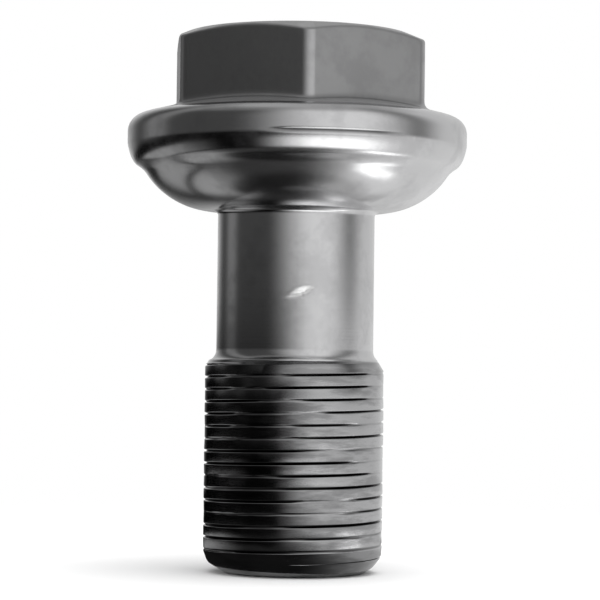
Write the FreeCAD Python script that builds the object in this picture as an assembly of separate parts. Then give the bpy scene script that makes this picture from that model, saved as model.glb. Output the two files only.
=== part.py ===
"""A forged wheel bolt with a hexagon head, a lipped flange and a rounded seat, for a wheel's bolt hole.

One piece of steel: the hexagon stands on the flange's coned top, the lip runs round the flange, the rounded
seat centres the wheel, and a smooth waisted shank leads to the fine thread. The bolt stands on its threaded
end: the origin is the centre of the end face, and +Z runs up the axis to the head. All sizes in millimetres.
"""

import FreeCAD, Part
import math
import os

# Thread and shank
THREAD_DIAMETER = 22.0          # outer diameter of the fine thread, pitch 1.5
THREAD_LENGTH = 26.2            # from the end face to the top of the run-out cone
THREAD_END_ROUND = 3.1          # radius of the rounded end
THREAD_RUNOUT_HEIGHT = 0.85     # axial height of the cone where the thread runs out to the shank
SHANK_DIAMETER = 19.3           # smooth waist between thread and seat
SHANK_LENGTH = 18.1             # from the run-out to the underside of the seat
SEAT_ROOT_BEVEL = 0.8           # bevel in the root where the shank meets the seat

# Rounded seat and lipped flange
SEAT_HEIGHT = 5.5               # axial height of the rounded seat
FLANGE_DIAMETER = 41.8          # across the lip
LIP_OVERHANG = 1.75             # how far the lip stands out past the seat, with a quarter-round underside
LIP_BAND = 2.3                  # straight band of the lip's rim
LIP_UPPER_ROUND = 2.1           # rounding of the lip's upper edge
FLANGE_SLOPE = 14.0             # degrees that the flange's top falls away from the hexagon

# Hexagon head
HEX_ACROSS_FLATS = 29.6         # forged to take a 30 mm socket
HEX_HEIGHT = 9.0                # from the flange, at the middle of a flat, to the top
HEX_CORNER_ROUND = 1.7          # rounding of the six upright edges
HEX_CHAMFER_DIAMETER = 27.6     # circle left on the flat top by the chamfer
HEX_CHAMFER_ANGLE = 23.0        # degrees of the chamfer from the flat top

AXIS = FreeCAD.Vector(0, 0, 1)
ORIGIN = FreeCAD.Vector(0, 0, 0)
HEX_SIDES = 6

# Radii and levels that follow from the sizes
thread_radius = THREAD_DIAMETER / 2
shank_radius = SHANK_DIAMETER / 2
flange_radius = FLANGE_DIAMETER / 2
hex_flat_radius = HEX_ACROSS_FLATS / 2
hex_corner_radius = hex_flat_radius / math.cos(math.pi / HEX_SIDES)
seat_inner_radius = shank_radius + SEAT_ROOT_BEVEL
seat_outer_radius = flange_radius - LIP_OVERHANG
flange_slope = math.radians(FLANGE_SLOPE)

seat_bottom = THREAD_LENGTH + SHANK_LENGTH
seat_top = seat_bottom + SEAT_HEIGHT
lip_band_bottom = seat_top + LIP_OVERHANG
lip_band_top = lip_band_bottom + LIP_BAND
flange_edge_radius = flange_radius - LIP_UPPER_ROUND * (1 - math.sin(flange_slope))
flange_edge_level = lip_band_top + LIP_UPPER_ROUND * math.cos(flange_slope)


def flange_top(radius):
    """Height of the flange's coned top at a radius."""
    return flange_edge_level + (flange_edge_radius - radius) * math.tan(flange_slope)


hex_top = flange_top(hex_flat_radius) + HEX_HEIGHT


def point(radius, level):
    """A point of the turned outline, in the XZ half-plane."""
    return FreeCAD.Vector(radius, 0, level)


def line(start, end):
    """A straight edge of the turned outline."""
    return Part.LineSegment(start, end).toShape()


def arc(start, centre, end):
    """The shorter arc from start to end about a centre, as an edge of the turned outline."""
    bisector = (start - centre) + (end - centre)
    bisector.normalize()
    middle = centre + bisector * (start - centre).Length
    return Part.Arc(start, middle, end).toShape()


def seat_arc_radius():
    """Radius of the seat's rounding: it leaves the root level and passes through the top of the seat."""
    reach = seat_outer_radius - seat_inner_radius
    return (reach ** 2 + SEAT_HEIGHT ** 2) / (2 * SEAT_HEIGHT)


def turned_outline():
    """The outline of everything round, from the middle of the end face to the middle of the flange's top."""
    end_flat = point(thread_radius - THREAD_END_ROUND, 0)
    end_round_centre = point(thread_radius - THREAD_END_ROUND, THREAD_END_ROUND)
    thread_foot = point(thread_radius, THREAD_END_ROUND)
    thread_head = point(thread_radius, THREAD_LENGTH - THREAD_RUNOUT_HEIGHT)
    shank_foot = point(shank_radius, THREAD_LENGTH)
    shank_head = point(shank_radius, seat_bottom - SEAT_ROOT_BEVEL)
    seat_foot = point(seat_inner_radius, seat_bottom)
    seat_centre = point(seat_inner_radius, seat_bottom + seat_arc_radius())
    seat_head = point(seat_outer_radius, seat_top)
    lip_under_centre = point(seat_outer_radius, lip_band_bottom)
    lip_foot = point(flange_radius, lip_band_bottom)
    lip_head = point(flange_radius, lip_band_top)
    lip_upper_centre = point(flange_radius - LIP_UPPER_ROUND, lip_band_top)
    flange_edge = point(flange_edge_radius, flange_edge_level)
    flange_crown = point(0, flange_top(0))
    return Part.Wire([
        line(ORIGIN, end_flat),
        arc(end_flat, end_round_centre, thread_foot),
        line(thread_foot, thread_head),
        line(thread_head, shank_foot),
        line(shank_foot, shank_head),
        line(shank_head, seat_foot),
        arc(seat_foot, seat_centre, seat_head),
        arc(seat_head, lip_under_centre, lip_foot),
        line(lip_foot, lip_head),
        arc(lip_head, lip_upper_centre, flange_edge),
        line(flange_edge, flange_crown),
        line(flange_crown, ORIGIN),
    ])


def turned_body():
    """Thread, shank, seat and flange, turned about the axis."""
    return Part.Face(turned_outline()).revolve(ORIGIN, AXIS, 360)


def hexagon_prism():
    """The hexagon with rounded uprights, rooted inside the flange, with a corner towards -Y."""
    turns = [math.radians(30 + 60 * number) for number in range(HEX_SIDES)]
    corners = [FreeCAD.Vector(math.cos(turn), math.sin(turn), 0) * hex_corner_radius for turn in turns]
    hexagon = Part.Face(Part.makePolygon(corners + corners[:1]))
    hexagon.translate(AXIS * lip_band_bottom)
    prism = hexagon.extrude(AXIS * (hex_top - lip_band_bottom))
    uprights = [edge for edge in prism.Edges if edge.Vertexes[0].Z != edge.Vertexes[1].Z]
    return prism.makeFillet(HEX_CORNER_ROUND, uprights)


def chamfer_cone():
    """The cone that the head's top is turned to, which takes off the hexagon's upper corners."""
    top_radius = HEX_CHAMFER_DIAMETER / 2
    height = hex_top - lip_band_bottom
    foot_radius = top_radius + height / math.tan(math.radians(HEX_CHAMFER_ANGLE))
    return Part.makeCone(foot_radius, top_radius, height, AXIS * lip_band_bottom)


def wheel_bolt():
    """The whole bolt, one solid."""
    head = hexagon_prism().common(chamfer_cone())
    return turned_body().fuse(head).removeSplitter()


def main():
    bolt = wheel_bolt()
    print(f"solids {len(bolt.Solids)}, valid {bolt.isValid()}, volume {bolt.Volume:.1f} mm3")
    print(f"seat arc radius {seat_arc_radius():.2f}, from {seat_bottom:.2f} to {seat_top:.2f}")
    print(f"hexagon up to {hex_top:.2f}, centre of mass at {bolt.Solids[0].CenterOfMass.z:.2f}")
    os.makedirs("parts", exist_ok=True)
    bolt.Solids[0].exportStep("parts/wheel_bolt.step")


main()
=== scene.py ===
"""Finished surface of the forged wheel bolt: plated head and shank, rolled thread, and a plain studio."""

import math

import bmesh
import bpy
from bpy.props import FloatProperty, FloatVectorProperty, IntProperty, PointerProperty
from mathutils import Matrix, Vector, geometry, noise


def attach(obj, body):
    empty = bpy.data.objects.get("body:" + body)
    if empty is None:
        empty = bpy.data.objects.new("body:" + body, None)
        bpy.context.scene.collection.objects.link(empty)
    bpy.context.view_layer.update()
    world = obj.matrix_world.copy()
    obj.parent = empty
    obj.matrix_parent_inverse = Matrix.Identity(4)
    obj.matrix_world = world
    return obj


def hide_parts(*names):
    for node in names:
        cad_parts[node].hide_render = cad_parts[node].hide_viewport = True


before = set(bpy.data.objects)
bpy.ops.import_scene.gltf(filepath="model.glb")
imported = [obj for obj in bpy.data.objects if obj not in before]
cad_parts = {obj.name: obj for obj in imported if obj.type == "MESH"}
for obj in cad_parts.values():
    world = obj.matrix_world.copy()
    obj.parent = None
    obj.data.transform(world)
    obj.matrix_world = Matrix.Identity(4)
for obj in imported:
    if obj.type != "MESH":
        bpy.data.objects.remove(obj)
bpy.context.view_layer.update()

bl_info = {
    "name": "Wheel bolt",
    "version": (1, 0, 0),
    "blender": (4, 5, 0),
    "location": "3D View > Sidebar > Wheel bolt",
    "description": "Builds a forged wheel bolt with a rolled thread, and a studio to show it in",
    "category": "Object",
}

NODE = "wheel_bolt"
MM = 0.001
HEX_SIDES = 6
NEAR_CORNER = math.radians(-90)
MERGE_DISTANCE = 1e-7


def length(name, description, millimetres):
    """A length property, given in millimetres and kept in metres."""
    return FloatProperty(name=name, description=description, default=millimetres * MM, min=0, precision=5,
                         subtype="DISTANCE", unit="LENGTH")


def angle(name, description, degrees):
    """An angle property, given in degrees."""
    return FloatProperty(name=name, description=description, default=math.radians(degrees), subtype="ANGLE",
                         unit="ROTATION")


class BoltSizes(bpy.types.PropertyGroup):
    """Sizes of the forging and its thread."""
    thread_diameter: length("Thread diameter", "Outer diameter of the thread", 22.0)
    thread_pitch: length("Thread pitch", "Rise of the thread in one turn", 1.5)
    thread_depth: length("Thread depth", "Depth of the groove below the crest", 0.34)
    thread_crest: length("Thread crest", "Width of the flat crest", 1.14)
    thread_length: length("Thread length", "From the end face to the top of the run-out", 26.2)
    end_round: length("End rounding", "Radius of the rounded end", 3.1)
    runout_height: length("Run-out height", "Height of the cone where the thread meets the shank", 0.85)
    shank_diameter: length("Shank diameter", "Smooth waist between thread and seat", 19.3)
    shank_length: length("Shank length", "From the run-out to the underside of the seat", 18.1)
    neck_round: length("Neck rounding", "Hollow rounding where the shank flares into the thread", 1.5)
    neck_span: angle("Neck span", "How much of the hollow rounding there is", 50)
    root_round: length("Root rounding", "Rounding where the shank meets the seat", 0.65)
    seat_height: length("Seat height", "Height of the rounded seat", 5.5)
    flange_diameter: length("Flange diameter", "Across the lip", 41.8)
    lip_overhang: length("Lip overhang", "How far the lip stands out past the seat", 1.75)
    lip_under_height: length("Lip under height", "Height of the lip's rounded under side", 2.6)
    lip_height: length("Lip height", "From the notch to the top of the lip's straight band", 4.05)
    lip_upper_round: length("Lip upper rounding", "Rounding of the lip's upper edge", 2.1)
    flange_slope: angle("Flange slope", "Fall of the flange's top away from the hexagon", 14)
    hex_across_flats: length("Across flats", "Width of the hexagon between flats", 29.6)
    hex_height: length("Hexagon height", "From the flange to the top, at the middle of a flat", 9.0)
    hex_corner_round: length("Corner rounding", "Rounding of the six upright edges", 1.7)
    hex_root_round: length("Hexagon root", "Rounding where the hexagon stands on the flange", 0.9)
    hex_edge_round: length("Chamfer edges", "Rounding of the edges of the top chamfer", 0.35)
    chamfer_diameter: length("Chamfer circle", "Circle left on the flat top by the chamfer", 27.6)
    chamfer_angle: angle("Chamfer angle", "Slope of the chamfer from the flat top", 23)
    forging_wave: length("Forging waviness", "How far the forged faces wander from true", 0.035)
    trim_level: length("Trim level", "Height of the trim mark on the rim", 52.5)
    trim_depth: length("Trim depth", "Depth of the trim mark on the rim", 0.13)
    nick_level: length("Nick level", "Height of the nick on the shank", 34.2)
    nick_length: length("Nick length", "Length of the nick on the shank", 3.5)
    nick_depth: length("Nick depth", "Depth of the nick on the shank", 0.16)
    nick_lean: angle("Nick lean", "Lean of the nick from level", 20)
    nick_turn: angle("Nick place", "Place of the nick round the shank, from the corner towards -Y", -0.8)


class BoltFinish(bpy.types.PropertyGroup):
    """Colours and gloss of the plating."""
    plating: FloatVectorProperty(name="Plating", description="Colour of the bright plating", subtype="COLOR",
                                 default=(0.55, 0.55, 0.555), min=0, max=1)
    plating_dull: FloatVectorProperty(name="Dull plating", description="Colour of handled patches",
                                      subtype="COLOR", default=(0.48, 0.48, 0.485), min=0, max=1)
    forged: FloatVectorProperty(name="Forged faces", description="Colour of the duller hexagon",
                                subtype="COLOR", default=(0.37, 0.37, 0.373), min=0, max=1)
    forged_dull: FloatVectorProperty(name="Forged patches", description="Colour of the dull patches there",
                                     subtype="COLOR", default=(0.32, 0.32, 0.323), min=0, max=1)
    # Colour of the nick: bare metal, lighter than the plating as a painted highlight
    bare_and_highlight: FloatVectorProperty(name="Bare metal", description="Colour of the metal laid bare in the nick",
                              subtype="COLOR", default=(0.7, 0.7, 0.7), min=0, max=1)
    crest: FloatVectorProperty(name="Thread crests", description="Colour of the rolled crests",
                               subtype="COLOR", default=(0.39, 0.39, 0.395), min=0, max=1)
    # Colour of the oil and painted shade in the thread's roots; also painted into the trim mark as shade
    root: FloatVectorProperty(name="Thread roots", description="Colour of the oily roots",
                              subtype="COLOR", default=(0.05, 0.05, 0.051), min=0, max=1)
    gloss: FloatProperty(name="Roughness", description="Roughness of the bright plating", default=0.2,
                         min=0, max=1, subtype="FACTOR")
    dull: FloatProperty(name="Dull roughness", description="Roughness of handled patches", default=0.25,
                        min=0, max=1, subtype="FACTOR")


class StageSetup(bpy.types.PropertyGroup):
    """Camera, floor and the cards of the light tent."""
    view_turn: angle("View turn", "Camera's turn from the corner towards -Y", -4.2)
    view_distance: length("View distance", "Camera's distance from the bolt's axis", 300)
    view_level: length("View level", "Camera's height above the floor", 25.65)
    view_pitch: angle("View pitch", "How far the camera looks up", 1.48)
    view_aim: angle("View aim", "How far the camera looks to the right of the axis", 0.11)
    view_roll: angle("View roll", "Roll of the camera", 0.7)
    view_field: angle("Field of view", "Camera's field of view", 14.04)
    floor_radius: length("Floor radius", "Radius of the round floor", 150)
    card_radius: length("Card radius", "Distance of the light tent's cards", 230)
    card_height: length("Card height", "Height of the light tent's cards", 260)
    columns: IntProperty(name="Card steps", description="Steps round the light tent", default=180, min=12)


# Outlines

NECK_RISE = 1.0 * MM                    # centre of the neck's hollow rounding above the run-out
NECK_STRIP = 0.15 * MM                  # height of the strip that joins the thread to the neck
SEAT_STOP = 7                           # degrees that the seat's arc stops short of the notch
LIP_TOE = (0.5 * MM, -0.05 * MM)        # start of the lip's under side, from the seat's upper edge
LIP_CORNER = (-0.35 * MM, 0.45 * MM)    # corner that the under side is drawn towards, from the rim

# Rows of faces in each stretch of the outline
NECK_ROWS = 6
SHANK_ROWS = 80
ROOT_ROWS = 6
SEAT_ROWS = 22
NOTCH_ROWS = 8
LIP_ROWS = 14
BAND_ROWS = 10
UPPER_ROWS = 10
FLANGE_ROWS = 6
HEX_ROOT_ROWS = 8
HEX_SIDE_ROWS = 10
HEX_EDGE_ROWS = 4
CHAMFER_ROWS = 4
TOP_ROWS = 5


def smooth(part):
    """A smooth step from 0 to 1."""
    part = min(max(part, 0), 1)
    return part * part * (3 - 2 * part)


def arc(centre, radius, start, end, steps):
    """Points of an arc in the (radius, level) plane, without its first point."""
    turns = [math.radians(start + (end - start) * step / steps) for step in range(1, steps + 1)]
    return [(centre[0] + radius * math.cos(turn), centre[1] + radius * math.sin(turn)) for turn in turns]


def crossing(first, second, third, fourth):
    """Where the line through the first two points crosses the line through the last two."""
    points = [Vector((*point, 0)) for point in (first, second, third, fourth)]
    near, _ = geometry.intersect_line_line(*points)
    return near.xy


def straight(start, end, steps):
    """Points from start to end, without the first one."""
    width = end[0] - start[0]
    height = end[1] - start[1]
    parts = [step / steps for step in range(1, steps + 1)]
    return [(start[0] + width * part, start[1] + height * part) for part in parts]


def eased_corner(before, corner, after, reach, steps):
    """Points round a corner, from reach before it to reach after it."""
    corner = Vector(corner)
    start = corner + (Vector(before) - corner).normalized() * reach
    end = corner + (Vector(after) - corner).normalized() * reach
    return hollow(start, corner, end, steps)


def hollow(start, corner, end, steps):
    """Points of a curve from start to end, drawn towards the corner between them."""
    start, corner, end = Vector(start), Vector(corner), Vector(end)
    parts = [step / steps for step in range(steps + 1)]
    return [tuple(start.lerp(corner, part).lerp(corner.lerp(end, part), part)) for part in parts]


class Levels:
    """Radii and levels that follow from the sizes."""

    def __init__(self, sizes):
        self.thread_radius = sizes.thread_diameter / 2
        self.shank_radius = sizes.shank_diameter / 2
        self.flange_radius = sizes.flange_diameter / 2
        self.hex_flat = sizes.hex_across_flats / 2
        self.neck_centre = (self.shank_radius + sizes.neck_round, sizes.thread_length + NECK_RISE)
        self.neck_radius = self.neck_centre[0] - sizes.neck_round * math.cos(sizes.neck_span)
        self.neck_level = self.neck_centre[1] - sizes.neck_round * math.sin(sizes.neck_span)
        self.thread_top = self.neck_level - NECK_STRIP
        self.seat_inner = self.shank_radius + sizes.root_round
        self.seat_outer = self.flange_radius - sizes.lip_overhang
        self.seat_bottom = sizes.thread_length + sizes.shank_length
        self.seat_top = self.seat_bottom + sizes.seat_height
        self.lip_top = self.seat_top + sizes.lip_height
        slope = sizes.flange_slope
        self.edge_radius = self.flange_radius - sizes.lip_upper_round * (1 - math.sin(slope))
        self.edge_level = self.lip_top + sizes.lip_upper_round * math.cos(slope)
        self.slope = math.tan(slope)
        self.hex_top = self.flange_top(self.hex_flat) + sizes.hex_height
        self.chamfer_radius = sizes.chamfer_diameter / 2
        self.chamfer_slope = math.tan(sizes.chamfer_angle)

    def flange_top(self, radius):
        """Height of the flange's coned top at a radius."""
        return self.edge_level + (self.edge_radius - radius) * self.slope


def round_outline(sizes, levels):
    """Outline of the shank, seat and lip, upwards from just above the thread."""
    reach = levels.seat_outer - levels.seat_inner
    seat_radius = (reach ** 2 + sizes.seat_height ** 2) / (2 * sizes.seat_height)
    seat_span = math.degrees(math.asin(reach / seat_radius))
    neck_foot = (levels.neck_radius, levels.neck_level)
    neck_turn = 180 + math.degrees(sizes.neck_span)
    shank_foot = (levels.shank_radius, levels.neck_centre[1])
    shank_head = (levels.shank_radius, levels.seat_bottom - sizes.root_round)
    root_centre = (levels.seat_inner, shank_head[1])
    seat_centre = (levels.seat_inner, levels.seat_bottom + seat_radius)
    lip_foot = (levels.flange_radius, levels.seat_top + sizes.lip_under_height)
    lip_head = (levels.flange_radius, levels.lip_top)
    upper_centre = (levels.flange_radius - sizes.lip_upper_round, levels.lip_top)
    points = [neck_foot]
    points += arc(levels.neck_centre, sizes.neck_round, neck_turn, 180, NECK_ROWS)
    points += straight(shank_foot, shank_head, SHANK_ROWS)
    points += arc(root_centre, sizes.root_round, 180, 90, ROOT_ROWS)
    points += arc(seat_centre, seat_radius, -90, seat_span - (90 + SEAT_STOP), SEAT_ROWS)
    lip_toe = (levels.seat_outer + LIP_TOE[0], levels.seat_top + LIP_TOE[1])
    lip_corner = (levels.flange_radius + LIP_CORNER[0], levels.seat_top + LIP_CORNER[1])
    lip_round = hollow(lip_toe, lip_corner, lip_foot, LIP_ROWS)
    lip_join = crossing(points[-2], points[-1], lip_round[1], lip_round[0])
    points += hollow(points[-1], lip_join, lip_round[0], NOTCH_ROWS)[1:-1]
    points += lip_round
    points += straight(lip_foot, lip_head, BAND_ROWS)
    upper_span = 90 - math.degrees(sizes.flange_slope)
    points += arc(upper_centre, sizes.lip_upper_round, 0, upper_span, UPPER_ROWS)
    return points


def head_outline(sizes, levels, radius):
    """Outline of the flange's top, the hexagon and its chamfer, where the hexagon has this radius."""
    edge = (levels.edge_radius, levels.edge_level)
    root = (radius, levels.flange_top(radius))
    shoulder = (radius, levels.hex_top - (radius - levels.chamfer_radius) * levels.chamfer_slope)
    rim = (levels.chamfer_radius, levels.hex_top)
    middle = (0, levels.hex_top)
    root_corner = eased_corner(edge, root, shoulder, sizes.hex_root_round, HEX_ROOT_ROWS)
    shoulder_corner = eased_corner(root, shoulder, rim, sizes.hex_edge_round, HEX_EDGE_ROWS)
    rim_corner = eased_corner(shoulder, rim, middle, sizes.hex_edge_round, HEX_EDGE_ROWS)
    points = straight(edge, root_corner[0], FLANGE_ROWS)
    points += root_corner[1:]
    points += straight(root_corner[-1], shoulder_corner[0], HEX_SIDE_ROWS)
    points += shoulder_corner[1:]
    points += straight(shoulder_corner[-1], rim_corner[0], CHAMFER_ROWS)
    points += rim_corner[1:]
    points += straight(rim_corner[-1], middle, TOP_ROWS)
    return points


# Hexagon

CORNER_STEPS = 10
FLAT_STEPS = 24
SIDE_STEPS = CORNER_STEPS + FLAT_STEPS
COLUMNS = HEX_SIDES * SIDE_STEPS


def corner_reach(sizes, levels):
    """Half the turn that a rounded corner takes up, and its centre's distance from the axis."""
    rounding = sizes.hex_corner_round
    centre = (levels.hex_flat - rounding) / math.cos(math.pi / HEX_SIDES)
    across = rounding * math.sin(math.pi / HEX_SIDES)
    along = centre + rounding * math.cos(math.pi / HEX_SIDES)
    return math.atan2(across, along), centre


def column_turn(column, reach):
    """Turn of a column from the first corner, with columns crowded into the rounded corners."""
    side, step = divmod(column, SIDE_STEPS)
    start = side * math.tau / HEX_SIDES
    if step < CORNER_STEPS:
        return start + reach * (2 * step / CORNER_STEPS - 1)
    part = (step - CORNER_STEPS) / FLAT_STEPS
    return start + reach + (math.tau / HEX_SIDES - 2 * reach) * part


def hex_radius(turn, sizes, levels):
    """Radius of the rounded hexagon at a turn from its first corner."""
    sector = math.tau / HEX_SIDES
    offset = abs((turn + sector / 2) % sector - sector / 2)
    reach, centre = corner_reach(sizes, levels)
    if offset < reach:
        side = centre * math.sin(offset)
        return centre * math.cos(offset) + math.sqrt(sizes.hex_corner_round ** 2 - side ** 2)
    return levels.hex_flat / math.cos(sector / 2 - offset)


# Thread

THREAD_STEPS = 144                      # steps in one turn
THREAD_EASE = 0.05 * MM                 # easing of the crest's and root's edges
FLANK_LEAN = math.radians(23)
RIM_TOLERANCE = 0.02 * MM
KEPT_GROOVE = 0.15                      # share of the depth that a filled stretch of groove keeps
FILL_ACROSS = 110                       # noise that breaks the groove up: scale across, scale up the axis
FILL_UP = 330
FILL_MIDDLE = 0.5
FILL_SPREAD = 1.9
FILL_LIMIT = 0.94
RUNOUT_MIDDLE = 0.5                     # turns before the run-out where the dies lift off, and its swing
RUNOUT_SWING = 0.4
TOP_EDGE_REACH = 0.75 * MM              # painted shade along the top edge of the thread, where it meets the run-out
TOP_EDGE_RISE = 0.4 * MM
TOP_EDGE_SHADE = 0.3
WEAR_SCALE = 900
WEAR_DEPTH = 0.02 * MM


def thread_section(sizes, levels):
    """One turn's outline: crest with eased edges, flank, rounded root and flank, as (radius, rise)."""
    crest = sizes.thread_crest
    ease = THREAD_EASE
    flank = sizes.thread_depth * math.tan(FLANK_LEAN)
    outer = levels.thread_radius
    inner = outer - sizes.thread_depth
    root_start = crest + flank
    root_end = sizes.thread_pitch - flank
    root_middle = (root_start + root_end) / 2
    return [
        (outer - ease, -ease / 2),
        (outer, ease),
        (outer, crest - ease),
        (outer - ease, crest + ease / 2),
        (outer - sizes.thread_depth / 2, crest + flank / 2),
        (inner + ease, root_start - ease / 2),
        (inner - ease, root_middle),
        (inner + ease, root_end + ease / 2),
        (outer - sizes.thread_depth / 2, root_end + flank / 2),
        (outer - ease, sizes.thread_pitch - ease / 2),
    ]


def thread_limit(level, sizes, levels):
    """Largest radius that the blank leaves for the thread at a level: rounded end, barrel, run-out cone."""
    if level < sizes.end_round:
        drop = sizes.end_round - max(level, 0)
        return levels.thread_radius - sizes.end_round + math.sqrt(sizes.end_round ** 2 - drop ** 2)
    cone_foot = sizes.thread_length - sizes.runout_height
    part = min(max((level - cone_foot) / (levels.thread_top - cone_foot), 0), 1)
    return levels.thread_radius + (levels.neck_radius - levels.thread_radius) * part


def runout_fill(level, turn, sizes):
    """How far the groove has filled up near the top of the thread, where the rolling dies lift off."""
    turns_before = RUNOUT_MIDDLE + RUNOUT_SWING * math.cos(turn)
    start = sizes.thread_length - sizes.runout_height - sizes.thread_pitch * turns_before
    return smooth((level - start) / sizes.thread_pitch)


def open_loop(mesh, level):
    """Edges of the open rim at a level."""
    return [edge for edge in mesh.edges
            if edge.is_boundary and all(abs(vert.co.z - level) < RIM_TOLERANCE for vert in edge.verts)]


def rolled_thread(sizes, levels):
    """The thread as its own bmesh, open at the top where the shank goes on."""
    mesh = bmesh.new()
    turns = math.ceil(sizes.thread_length / sizes.thread_pitch) + 3
    foot = -1.5 * sizes.thread_pitch
    section = [mesh.verts.new((radius, 0, foot + rise)) for radius, rise in thread_section(sizes, levels)]
    edges = [mesh.edges.new(pair) for pair in zip(section[:-1], section[1:])]
    bmesh.ops.spin(mesh, geom=section + edges, cent=(0, 0, 0), axis=(0, 0, 1), angle=math.tau,
                   steps=THREAD_STEPS, dvec=(0, 0, sizes.thread_pitch / THREAD_STEPS), use_merge=False)
    one_turn = mesh.verts[:] + mesh.edges[:] + mesh.faces[:]
    for turn in range(1, turns):
        copied = bmesh.ops.duplicate(mesh, geom=one_turn)["geom"]
        moved = [entry for entry in copied if isinstance(entry, bmesh.types.BMVert)]
        bmesh.ops.translate(mesh, verts=moved, vec=(0, 0, turn * sizes.thread_pitch))
    bmesh.ops.remove_doubles(mesh, verts=mesh.verts, dist=MERGE_DISTANCE)
    filled = levels.thread_radius - KEPT_GROOVE * sizes.thread_depth
    groove_layer = mesh.verts.layers.float.new("groove")
    for vert in mesh.verts:
        radius = vert.co.xy.length
        turn = math.atan2(vert.co.y, vert.co.x)
        place = Vector((vert.co.x * FILL_ACROSS, vert.co.y * FILL_ACROSS, vert.co.z * FILL_UP))
        broken = min(max(FILL_MIDDLE + FILL_SPREAD * noise.noise(place), 0), FILL_LIMIT)
        fill = max(runout_fill(vert.co.z, turn, sizes), broken)
        limit = thread_limit(vert.co.z, sizes, levels)
        wanted = min(radius + (filled - radius) * fill, limit)
        # Painted shade: a dark band along the top of the thread, carried in the groove value
        past_edge = vert.co.z - levels.thread_top + TOP_EDGE_REACH
        top_edge_shade = min(max(past_edge / TOP_EDGE_RISE, 0), TOP_EDGE_SHADE)
        # The groove's depth darkens the roots in the material: oil and painted shade
        vert[groove_layer] = max((limit - wanted) / sizes.thread_depth, top_edge_shade)
        wear = noise.noise(vert.co * WEAR_SCALE) * WEAR_DEPTH
        vert.co.xy *= (wanted + wear * (radius > filled)) / radius
    for level, side in ((0, -1), (levels.thread_top, 1)):
        everything = mesh.verts[:] + mesh.edges[:] + mesh.faces[:]
        bmesh.ops.bisect_plane(mesh, geom=everything, dist=MERGE_DISTANCE, plane_co=(0, 0, level),
                               plane_no=(0, 0, side), clear_outer=True)
    bmesh.ops.edgeloop_fill(mesh, edges=open_loop(mesh, 0))
    for face in mesh.faces:
        face.material_index = 1
    return mesh


# Whole bolt

NICK_HALF_WIDTH = 0.6 * MM
NICK_SLOPE = 1.1 * MM                   # width of the nick's sloping facet
NICK_WALL = 0.15 * MM                   # width of its steep side
NICK_BRIGHTENING = 6                           # how quickly the nick's lighter colour, bare metal and a painted highlight, comes in with its depth
TRIM_REACH = math.radians(24)           # half the length of the trim mark
TRIM_MIDDLE = math.radians(9)           # its middle, from the corner towards -Y
TRIM_FADE = math.radians(9)
TRIM_WIDTH = 0.17 * MM
CORNER_WEAR_AND_HIGHLIGHT = 0.8                            # share of the darker forged colour that the rounded corners keep: rubbed wear and a painted highlight
WAVE_SCALE = 170
SHARP_ANGLE = math.radians(50)


def nick_drop(turn, level, sizes, levels):
    """Depth of the nick on the shank at a place: a long facet that slopes in from its upper side."""
    along = levels.shank_radius * (turn - sizes.nick_turn)
    across = level - sizes.nick_level
    lean = sizes.nick_lean
    run = along * math.cos(lean) + across * math.sin(lean)
    rise = across * math.cos(lean) - along * math.sin(lean)
    half = NICK_HALF_WIDTH * max(1 - (2 * run / sizes.nick_length) ** 2, 0)
    slope = min(max((half - rise) / NICK_SLOPE, 0), 1)
    wall = min(max((half + rise) / NICK_WALL, 0), 1)
    return sizes.nick_depth * min(slope, wall)


def trim_drop(turn, level, sizes):
    """Depth of the mark that the forging's trim left along the front of the rim."""
    fade = min(max((TRIM_REACH - abs(turn - TRIM_MIDDLE)) / TRIM_FADE, 0), 1)
    return sizes.trim_depth * fade * math.exp(-((level - sizes.trim_level) / TRIM_WIDTH) ** 2)


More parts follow.
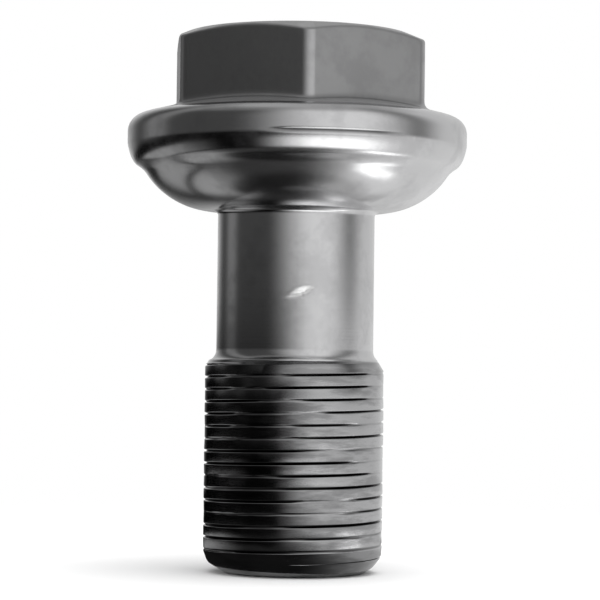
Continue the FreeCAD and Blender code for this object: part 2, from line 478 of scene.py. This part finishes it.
def turned_and_forged(mesh, sizes, levels):
    """Shank, seat, lip and hexagon, spun from one outline and drawn out to the hexagon's form."""
    below = round_outline(sizes, levels)
    above = head_outline(sizes, levels, levels.hex_flat)
    row_layer = mesh.verts.layers.int.new("row")
    forged_layer = mesh.verts.layers.float.new("forged")
    bare_and_highlight_layer = mesh.verts.layers.float.new("bare_and_highlight")
    trim_shade_layer = mesh.verts.layers.float.new("trim_shade")
    blasted_layer = mesh.verts.layers.float.new("blasted")
    outline = []
    for row, (radius, level) in enumerate(below + above):
        vert = mesh.verts.new((radius, 0, level))
        vert[row_layer] = row
        outline.append(vert)
    edges = [mesh.edges.new(pair) for pair in zip(outline[:-1], outline[1:])]
    bmesh.ops.spin(mesh, geom=outline + edges, cent=(0, 0, 0), axis=(0, 0, 1), angle=math.tau, steps=COLUMNS,
                   use_merge=True)
    reach, _ = corner_reach(sizes, levels)
    head_rows = {}
    for vert in mesh.verts:
        column = round(math.atan2(vert.co.y, vert.co.x) / math.tau * COLUMNS) % COLUMNS
        turn = column_turn(column, reach)
        row = vert[row_layer]
        if row < len(below):
            radius, level = below[row]
            nearby = (turn + math.pi) % math.tau - math.pi
            if level < levels.seat_bottom - sizes.root_round:
                drop = nick_drop(nearby, level, sizes, levels)
                radius -= drop
                # The nick gets a lighter colour: bare metal and a painted highlight
                vert[bare_and_highlight_layer] = min(NICK_BRIGHTENING * drop / sizes.nick_depth, 1)
            elif levels.seat_top < level < levels.lip_top:
                drop = trim_drop(nearby, level, sizes)
                radius -= drop
                # The trim mark's depth also sets its painted shade in the material
                vert[trim_shade_layer] = drop / sizes.trim_depth
        else:
            if column not in head_rows:
                head_rows[column] = head_outline(sizes, levels, hex_radius(turn, sizes, levels))
            radius, level = head_rows[column][row - len(below)]
            if row - len(below) > FLANGE_ROWS:
                on_side = radius > levels.chamfer_radius + sizes.hex_edge_round
                # Rounded corners are lighter: rubbed wear and a painted highlight
                worn_and_highlit = on_side and column % SIDE_STEPS < CORNER_STEPS
                vert[forged_layer] = CORNER_WEAR_AND_HIGHLIGHT if worn_and_highlit else 1.0
            else:
                vert[blasted_layer] = 1.0
        direction = Vector((math.cos(NEAR_CORNER + turn), math.sin(NEAR_CORNER + turn), 0))
        place = direction * radius + Vector((0, 0, level))
        if level > levels.seat_bottom and radius > levels.chamfer_radius:
            place -= direction * sizes.forging_wave * (0.5 + noise.noise(place * WAVE_SCALE))
        vert.co = place
    bmesh.ops.remove_doubles(mesh, verts=mesh.verts, dist=MERGE_DISTANCE)


def bolt_mesh(sizes):
    """The whole bolt in one closed mesh, thread faces in the second material."""
    levels = Levels(sizes)
    whole = bmesh.new()
    turned_and_forged(whole, sizes, levels)
    thread = rolled_thread(sizes, levels)
    carrier = bpy.data.meshes.new("rolled_thread")
    thread.to_mesh(carrier)
    thread.free()
    whole.from_mesh(carrier)
    bpy.data.meshes.remove(carrier)
    rims = open_loop(whole, levels.thread_top) + open_loop(whole, levels.neck_level)
    bmesh.ops.bridge_loops(whole, edges=rims)
    bmesh.ops.recalc_face_normals(whole, faces=whole.faces)
    for face in whole.faces:
        face.smooth = True
    mesh = bpy.data.meshes.new("finished_bolt")
    whole.to_mesh(mesh)
    whole.free()
    mesh.set_sharp_from_angle(angle=SHARP_ANGLE)
    return mesh


# Materials

BLOTCH_SCALE = 190
BLOTCH_RANGE = (0.44, 0.68)
GRAIN_SCALE = 5200
RINGS_SCALE = (25, 25, 5200)            # close along the axis, so that the noise makes rings
SMEAR_SCALE = (110, 110, 520)
SMEAR_RANGE = (0.42, 0.62)
SMEAR_SHARE = 0.4
FORGED_ROUGHNESS = 0.2                  # added on the hexagon
BLASTED_ROUGHNESS = 0.35                # added on the flange's coned top
PLATING_GRAIN = 0.004 * MM
THREAD_GRAIN = 0.006 * MM
GRAIN_STRENGTH = 0.5
OIL_AND_SHADE_RANGE = (0.06, 0.55)               # depth of groove, as a share, where the oil and painted shade in the roots start and are full
CREST_ROUGHNESS = 0.16
ROOT_ROUGHNESS = 0.13


def new_group(name, outputs):
    """A shader node group with the named float outputs, and its output node."""
    group = bpy.data.node_groups.new(name, "ShaderNodeTree")
    for output in outputs:
        group.interface.new_socket(name=output, in_out="OUTPUT", socket_type="NodeSocketFloat")
    return group, group.nodes.new("NodeGroupOutput")


def add_noise(tree, coordinates, scale, detail, roughness=0.5):
    """A noise texture on the coordinates."""
    texture = tree.nodes.new("ShaderNodeTexNoise")
    texture.inputs["Scale"].default_value = scale
    texture.inputs["Detail"].default_value = detail
    texture.inputs["Roughness"].default_value = roughness
    tree.links.new(coordinates, texture.inputs["Vector"])
    return texture.outputs["Fac"]


def remap(tree, value, low, high, to_low=0.0, to_high=1.0):
    """The value taken from one range to another, smoothly and clamped."""
    node = tree.nodes.new("ShaderNodeMapRange")
    node.interpolation_type = "SMOOTHSTEP"
    for name, number in (("From Min", low), ("From Max", high), ("To Min", to_low), ("To Max", to_high)):
        node.inputs[name].default_value = number
    tree.links.new(value, node.inputs["Value"])
    return node.outputs["Result"]


def maths(tree, operation, first, second):
    """A maths node on two sockets or numbers."""
    node = tree.nodes.new("ShaderNodeMath")
    node.operation = operation
    for index, value in enumerate((first, second)):
        if isinstance(value, (int, float)):
            node.inputs[index].default_value = value
        else:
            tree.links.new(value, node.inputs[index])
    return node.outputs["Value"]


def stretched(tree, coordinates, scale):
    """The coordinates scaled by axis."""
    node = tree.nodes.new("ShaderNodeVectorMath")
    node.operation = "MULTIPLY"
    node.inputs[1].default_value = scale
    tree.links.new(coordinates, node.inputs[0])
    return node.outputs["Vector"]


def plating_group():
    """Blotches where the plating is handled, fine grain, and the faint rings left by turning."""
    group, output = new_group("plating_surface", ("Blotch", "Grain", "Rings"))
    place = group.nodes.new("ShaderNodeTexCoord").outputs["Object"]
    blotch = remap(group, add_noise(group, place, BLOTCH_SCALE, 4, 0.62), *BLOTCH_RANGE)
    grain = add_noise(group, place, GRAIN_SCALE, 3, 0.6)
    rings = add_noise(group, stretched(group, place, RINGS_SCALE), 1, 2)
    for name, value in (("Blotch", blotch), ("Grain", grain), ("Rings", rings)):
        group.links.new(value, output.inputs[name])
    return group


def grime_group():
    """Smears of oil along the turns of the thread."""
    group, output = new_group("thread_grime", ("Smear",))
    place = group.nodes.new("ShaderNodeTexCoord").outputs["Object"]
    streaks = add_noise(group, stretched(group, place, SMEAR_SCALE), 1, 4, 0.6)
    smear = remap(group, streaks, *SMEAR_RANGE)
    group.links.new(smear, output.inputs["Smear"])
    return group


def mixed_colour(tree, factor, first, second):
    """A mix of two colours, each a socket or an RGB triple."""
    node = tree.nodes.new("ShaderNodeMix")
    node.data_type = "RGBA"
    tree.links.new(factor, node.inputs["Factor"])
    for name, value in (("A", first), ("B", second)):
        socket = [entry for entry in node.inputs if entry.name == name and entry.type == "RGBA"][0]
        if isinstance(value, bpy.types.NodeSocket):
            tree.links.new(value, socket)
        else:
            socket.default_value = (*value, 1)
    return [entry for entry in node.outputs if entry.type == "RGBA"][0]


def metal(name):
    """A new metal material: its node tree and its surface node."""
    material = bpy.data.materials.new(name)
    material.use_nodes = True
    surface = material.node_tree.nodes["Principled BSDF"]
    surface.inputs["Metallic"].default_value = 1.0
    return material, material.node_tree, surface


def add_group(tree, group):
    """A group node in a material."""
    node = tree.nodes.new("ShaderNodeGroup")
    node.node_tree = group
    return node.outputs


def bump(tree, surface, height, distance, strength):
    """A bump on the surface from a height."""
    node = tree.nodes.new("ShaderNodeBump")
    node.inputs["Distance"].default_value = distance
    node.inputs["Strength"].default_value = strength
    tree.links.new(height, node.inputs["Height"])
    tree.links.new(node.outputs["Normal"], surface.inputs["Normal"])


def own_value(tree, name):
    """A value that the mesh itself carries."""
    node = tree.nodes.new("ShaderNodeAttribute")
    node.attribute_name = name
    return node.outputs["Fac"]


def plated_steel(finish, plating):
    """Bright plating over forged and turned steel, with painted highlights on the hexagon's corners and in
    the nick, and painted shade in the trim mark.
    """
    material, tree, surface = metal("plated_steel")
    texture = add_group(tree, plating)
    colour = mixed_colour(tree, texture["Blotch"], finish.plating, finish.plating_dull)
    forged = own_value(tree, "forged")
    forging = mixed_colour(tree, texture["Blotch"], finish.forged, finish.forged_dull)
    colour = mixed_colour(tree, forged, colour, forging)
    colour = mixed_colour(tree, own_value(tree, "bare_and_highlight"), colour, finish.bare_and_highlight)
    # Painted shade in the trim mark, in the dark root colour
    colour = mixed_colour(tree, own_value(tree, "trim_shade"), colour, finish.root)
    tree.links.new(colour, surface.inputs["Base Color"])
    roughness = remap(tree, texture["Blotch"], 0, 1, finish.gloss, finish.dull)
    forged_share = maths(tree, "MULTIPLY", forged, FORGED_ROUGHNESS)
    blasted_share = maths(tree, "MULTIPLY", own_value(tree, "blasted"), BLASTED_ROUGHNESS)
    roughness = maths(tree, "ADD", roughness, forged_share)
    roughness = maths(tree, "ADD", roughness, blasted_share)
    tree.links.new(roughness, surface.inputs["Roughness"])
    height = maths(tree, "ADD", texture["Grain"], texture["Rings"])
    bump(tree, surface, height, PLATING_GRAIN, GRAIN_STRENGTH)
    return material


def thread_steel(finish, plating, grime):
    """Darker rolled thread, with oil and painted shade in its roots, and oil smeared along its turns."""
    material, tree, surface = metal("thread_steel")
    texture = add_group(tree, plating)
    dirt = add_group(tree, grime)
    smeared = maths(tree, "MULTIPLY", dirt["Smear"], SMEAR_SHARE)
    # Roots darken with the groove's depth: oil and painted shade in the recess
    oil_and_shade = remap(tree, own_value(tree, "groove"), *OIL_AND_SHADE_RANGE)
    dark = maths(tree, "MAXIMUM", oil_and_shade, smeared)
    colour = mixed_colour(tree, dark, finish.crest, finish.root)
    tree.links.new(colour, surface.inputs["Base Color"])
    roughness = remap(tree, dark, 0, 1, CREST_ROUGHNESS, ROOT_ROUGHNESS)
    tree.links.new(roughness, surface.inputs["Roughness"])
    bump(tree, surface, texture["Grain"], THREAD_GRAIN, GRAIN_STRENGTH)
    return material


# Studio

class SoftCard:
    """A glowing card with soft sides, placed by degrees to the right of the camera."""

    def __init__(self, start, full, fade, end, brightness):
        self.start, self.full, self.fade, self.end = start, full, fade, end
        self.brightness = brightness

    def glow(self, turn):
        """Brightness of the card at a turn."""
        turn = (turn - self.start) % 360 + self.start
        rise = smooth((turn - self.start) / (self.full - self.start))
        fall = smooth((self.end - turn) / (self.end - self.fade))
        return self.brightness * min(rise, fall)


FLOOR_GAP = 0.02 * MM
TENT_GREY = 0.08
KEY_WALL = SoftCard(-42, 26, 45, 92, 1.0)
BACK_WALL = SoftCard(75, 115, 190, 232, 0.72)
LEFT_STRIP = SoftCard(-125, -111, -103, -89, 0.2)
LIT_TABLE = SoftCard(-22, 34, 150, 215, 0.93)
NEAR_TABLE = SoftCard(0, 80, 115, 180, 0.95)
SEAT_CARD = SoftCard(-30, 22, 36, 100, 2.2)
RIGHT_CARD = SoftCard(45, 66, 78, 98, 2.2)
LEFT_CARD = SoftCard(-155, -130, -105, -50, 0.4)
NEAR_GREY = 0.05
UNDER_SHADE = 0.25                      # share of the near table's light under the rounded end, and its gain
UNDER_GAIN = 0.33
UNDER_START = -10                       # degrees where that gain starts, and over how many it grows
UNDER_SPAN = 70
ROOF_GREY = 0.28
ROOF_SHARE = 0.25                       # share of the wall's light that the roof takes
ROOF_MIDDLE = 0.55

# Radii of the tent's zones, and its levels
UNDER_START_RADIUS = 9.6 * MM
UNDER_END_RADIUS = 24 * MM
NEAR_START_RADIUS = 32 * MM
NEAR_END_RADIUS = 40 * MM
NEAR_CARD_START = 43 * MM
NEAR_CARD_END = 55 * MM
FENCE_INSIDE = 56 * MM
FENCE_OUTSIDE = 57 * MM
CARD_START = 58 * MM
CARD_END = 150 * MM
TABLE_START = 152 * MM
ROOF_INSIDE = 110 * MM
ROOF_MIDDLE_RADIUS = 60 * MM
ROOF_HOLE = 1 * MM
TABLE_LEVEL = 0.4 * MM
FENCE_LEVEL = 7 * MM
WALL_FOOT = 22 * MM                     # up to here the wall has the table's light
WALL_START = 40 * MM                    # from here its own

FLOOR_SEGMENTS = 96
FLOOR_ROUGHNESS = 0.8
FLOOR_SPECULAR = 0.1
FLOOR_FADE = 0.25                       # share of the radius where the floor starts to fade
FLOOR_PALE = (0.93, 0.93, 0.93)
FLOOR_SHADE = (0.9, 0.9, 0.9)
MOTTLE_SCALE = 60
SURROUND_SHED = 0.8                     # strength of the light that the surround sheds
SURROUND_SEEN = 1.0                     # strength at which it is seen
OVERHEAD_SIZE = 0.5
OVERHEAD_ENERGY = 2.2
OVERHEAD_PLACE = (0.06, -0.05, 0.5)
OVERHEAD_AIM = Vector((0, 0, 0.03))
CLIP_START = 0.01


def wall_light(turn):
    """Brightness of the tent's wall."""
    return TENT_GREY + KEY_WALL.glow(turn) + BACK_WALL.glow(turn) + LEFT_STRIP.glow(turn)


def roof_light(turn):
    """Brightness of the roof's outer part, which takes some of its light from the wall below it."""
    return ROOF_GREY + ROOF_SHARE * wall_light(turn)


def roof_middle(turn):
    """Brightness of the middle of the roof."""
    return ROOF_MIDDLE


def table_light(turn):
    """Brightness of the outer part of the table."""
    return LIT_TABLE.glow(turn)


def card_light(turn):
    """Brightness of the ring of cards that lights the seat and the lip from below."""
    return max(LIT_TABLE.glow(turn), SEAT_CARD.glow(turn), LEFT_CARD.glow(turn))


def near_light(turn):
    """Brightness of the table close to the bolt."""
    return NEAR_GREY + NEAR_TABLE.glow(turn) + LEFT_CARD.glow(turn)


def near_card_light(turn):
    """Brightness of the table just inside the ring of cards."""
    return near_light(turn) + RIGHT_CARD.glow(turn)


def under_light(turn):
    """Brightness of the table under the rounded end."""
    share = UNDER_SHADE + UNDER_GAIN * smooth((turn - UNDER_START) / UNDER_SPAN)
    return (NEAR_GREY + NEAR_TABLE.glow(turn)) * share


def stage_object(name, mesh, material):
    """A stage object with this mesh and material."""
    data = bpy.data.meshes.new(name)
    mesh.to_mesh(data)
    mesh.free()
    data.materials.append(material)
    piece = bpy.data.objects.new(name, data)
    bpy.context.scene.collection.objects.link(piece)
    return piece


def hide_card(piece):
    """Keeps a card out of the picture: it is only seen reflected."""
    piece.visible_camera = False
    piece.visible_shadow = False
    piece.visible_diffuse = False


def attribute_emitter(name):
    """A material that only gives white light, by the mesh's own brightness."""
    material = bpy.data.materials.new(name)
    material.use_nodes = True
    tree = material.node_tree
    tree.nodes.remove(tree.nodes["Principled BSDF"])
    glow = tree.nodes.new("ShaderNodeEmission")
    glow.inputs["Color"].default_value = (1, 1, 1, 1)
    tree.links.new(own_value(tree, "brightness"), glow.inputs["Strength"])
    tree.links.new(glow.outputs["Emission"], tree.nodes["Material Output"].inputs["Surface"])
    return material


def light_tent(stage):
    """A round tent about the bolt: dark on the left, bright to the right, and only seen reflected."""
    mesh = bmesh.new()
    brightness = mesh.verts.layers.float.new("brightness")
    row_layer = mesh.verts.layers.int.new("row")
    wall, roof = stage.card_radius, stage.card_height
    rows = (
        (UNDER_START_RADIUS, TABLE_LEVEL, under_light),
        (UNDER_END_RADIUS, TABLE_LEVEL, under_light),
        (NEAR_START_RADIUS, TABLE_LEVEL, near_light),
        (NEAR_END_RADIUS, TABLE_LEVEL, near_light),
        (NEAR_CARD_START, TABLE_LEVEL, near_card_light),
        (NEAR_CARD_END, TABLE_LEVEL, near_card_light),
        (FENCE_INSIDE, TABLE_LEVEL, table_light),
        (FENCE_INSIDE, FENCE_LEVEL, table_light),
        (FENCE_OUTSIDE, FENCE_LEVEL, table_light),
        (CARD_START, TABLE_LEVEL, card_light),
        (CARD_END, TABLE_LEVEL, card_light),
        (TABLE_START, TABLE_LEVEL, table_light),
        (wall, TABLE_LEVEL, table_light),
        (wall, WALL_FOOT, table_light),
        (wall, WALL_START, wall_light),
        (wall, roof, wall_light),
        (ROOF_INSIDE, roof, roof_light),
        (ROOF_MIDDLE_RADIUS, roof, roof_middle),
        (ROOF_HOLE, roof, roof_middle),
    )
    verts = []
    for row, (reach, level, _) in enumerate(rows):
        vert = mesh.verts.new((0, -reach, level))
        vert[row_layer] = row
        verts.append(vert)
    edges = [mesh.edges.new(pair) for pair in zip(verts[:-1], verts[1:])]
    bmesh.ops.spin(mesh, geom=verts + edges, cent=(0, 0, 0), axis=(0, 0, 1), steps=stage.columns,
                   angle=math.tau, use_merge=True)
    for vert in mesh.verts:
        light = rows[vert[row_layer]][2]
        vert[brightness] = light(math.degrees(math.atan2(vert.co.x, -vert.co.y)))
    bmesh.ops.rotate(mesh, verts=mesh.verts, cent=(0, 0, 0), matrix=Matrix.Rotation(stage.view_turn, 3, "Z"))
    hide_card(stage_object("light_tent", mesh, attribute_emitter("light_tent")))


def floor(stage):
    """A pale round floor that fades into the white behind it."""
    mesh = bmesh.new()
    bmesh.ops.create_circle(mesh, cap_ends=True, segments=FLOOR_SEGMENTS, radius=stage.floor_radius)
    bmesh.ops.translate(mesh, verts=mesh.verts, vec=(0, 0, -FLOOR_GAP))
    material = bpy.data.materials.new("pale_floor")
    material.use_nodes = True
    tree = material.node_tree
    surface = tree.nodes["Principled BSDF"]
    surface.inputs["Roughness"].default_value = FLOOR_ROUGHNESS
    surface.inputs["Specular IOR Level"].default_value = FLOOR_SPECULAR
    place = tree.nodes.new("ShaderNodeTexCoord").outputs["Object"]
    distance = tree.nodes.new("ShaderNodeVectorMath")
    distance.operation = "LENGTH"
    tree.links.new(place, distance.inputs[0])
    fade_start = FLOOR_FADE * stage.floor_radius
    fade = remap(tree, distance.outputs["Value"], fade_start, stage.floor_radius, 1, 0)
    tree.links.new(fade, surface.inputs["Alpha"])
    mottle = add_noise(tree, place, MOTTLE_SCALE, 3)
    tree.links.new(mixed_colour(tree, mottle, FLOOR_PALE, FLOOR_SHADE), surface.inputs["Base Color"])
    stage_object("floor", mesh, material)


def white_world():
    """A white surround, dimmer for the light that it sheds than for how it looks."""
    world = bpy.data.worlds.new("white_surround")
    bpy.context.scene.world = world
    world.use_nodes = True
    tree = world.node_tree
    path = tree.nodes.new("ShaderNodeLightPath").outputs
    seen = maths(tree, "MAXIMUM", path["Is Camera Ray"], path["Is Glossy Ray"])
    seen = maths(tree, "MAXIMUM", seen, path["Is Transmission Ray"])
    strength = remap(tree, seen, 0, 1, SURROUND_SHED, SURROUND_SEEN)
    tree.links.new(strength, tree.nodes["Background"].inputs["Strength"])
    tree.nodes["Background"].inputs["Color"].default_value = (1, 1, 1, 1)


def overhead_light():
    """A large soft light above and to the right of the camera."""
    data = bpy.data.lights.new("overhead", "AREA")
    data.shape = "DISK"
    data.size = OVERHEAD_SIZE
    data.energy = OVERHEAD_ENERGY
    light = bpy.data.objects.new("overhead", data)
    light.location = OVERHEAD_PLACE
    aim = OVERHEAD_AIM - light.location
    light.rotation_euler = aim.to_track_quat("-Z", "Y").to_euler()
    light.visible_glossy = False
    bpy.context.scene.collection.objects.link(light)


def camera(stage):
    """The camera, close to the bolt and level with the top of its thread."""
    data = bpy.data.cameras.new("camera")
    data.angle = stage.view_field
    data.clip_start = CLIP_START
    view = bpy.data.objects.new("camera", data)
    turn = Matrix.Rotation(stage.view_turn, 4, "Z")
    place = Matrix.Translation((0, -stage.view_distance, stage.view_level))
    aim = Matrix.Rotation(-stage.view_aim, 4, "Z")
    pitch = Matrix.Rotation(math.radians(90) + stage.view_pitch, 4, "X")
    roll = Matrix.Rotation(stage.view_roll, 4, "Z")
    view.matrix_world = turn @ place @ aim @ pitch @ roll
    bpy.context.scene.collection.objects.link(view)
    bpy.context.scene.camera = view


class WHEELBOLT_OT_bolt(bpy.types.Operator):
    """Build the finished bolt in place of the plain solid"""
    bl_idname = "wheelbolt.bolt"
    bl_label = "Build bolt"

    def execute(self, context):
        sizes = context.scene.bolt_sizes
        finish = context.scene.bolt_finish
        mesh = bolt_mesh(sizes)
        plating = plating_group()
        mesh.materials.append(plated_steel(finish, plating))
        mesh.materials.append(thread_steel(finish, plating, grime_group()))
        piece = bpy.data.objects.new("finished_bolt", mesh)
        context.scene.collection.objects.link(piece)
        even = piece.modifiers.new("flat crests", "WEIGHTED_NORMAL")
        even.keep_sharp = True
        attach(piece, "root")
        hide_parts(NODE)
        return {"FINISHED"}


class WHEELBOLT_OT_stage(bpy.types.Operator):
    """Set up the floor, the light tent and the camera"""
    bl_idname = "wheelbolt.stage"
    bl_label = "Build studio"

    def execute(self, context):
        stage = context.scene.bolt_stage
        white_world()
        floor(stage)
        light_tent(stage)
        overhead_light()
        camera(stage)
        context.scene.view_settings.view_transform = "Standard"
        return {"FINISHED"}


class WHEELBOLT_PT_panel(bpy.types.Panel):
    """Sizes, finish and studio of the wheel bolt"""
    bl_idname = "WHEELBOLT_PT_panel"
    bl_label = "Wheel bolt"
    bl_space_type = "VIEW_3D"
    bl_region_type = "UI"
    bl_category = "Wheel bolt"

    def draw(self, context):
        for group in (context.scene.bolt_sizes, context.scene.bolt_finish, context.scene.bolt_stage):
            box = self.layout.box()
            for name in group.bl_rna.properties.keys():
                if name not in ("rna_type", "name"):
                    box.prop(group, name)
        self.layout.operator(WHEELBOLT_OT_bolt.bl_idname)
        self.layout.operator(WHEELBOLT_OT_stage.bl_idname)


CLASSES = (BoltSizes, BoltFinish, StageSetup, WHEELBOLT_OT_bolt, WHEELBOLT_OT_stage, WHEELBOLT_PT_panel)


def register():
    for entry in CLASSES:
        bpy.utils.register_class(entry)
    bpy.types.Scene.bolt_sizes = PointerProperty(type=BoltSizes)
    bpy.types.Scene.bolt_finish = PointerProperty(type=BoltFinish)
    bpy.types.Scene.bolt_stage = PointerProperty(type=StageSetup)


def unregister():
    del bpy.types.Scene.bolt_stage
    del bpy.types.Scene.bolt_finish
    del bpy.types.Scene.bolt_sizes
    for entry in reversed(CLASSES):
        bpy.utils.unregister_class(entry)


def main():
    register()
    bpy.ops.wheelbolt.bolt()
    bpy.ops.wheelbolt.stage()


if __name__ == "__main__":
    main()
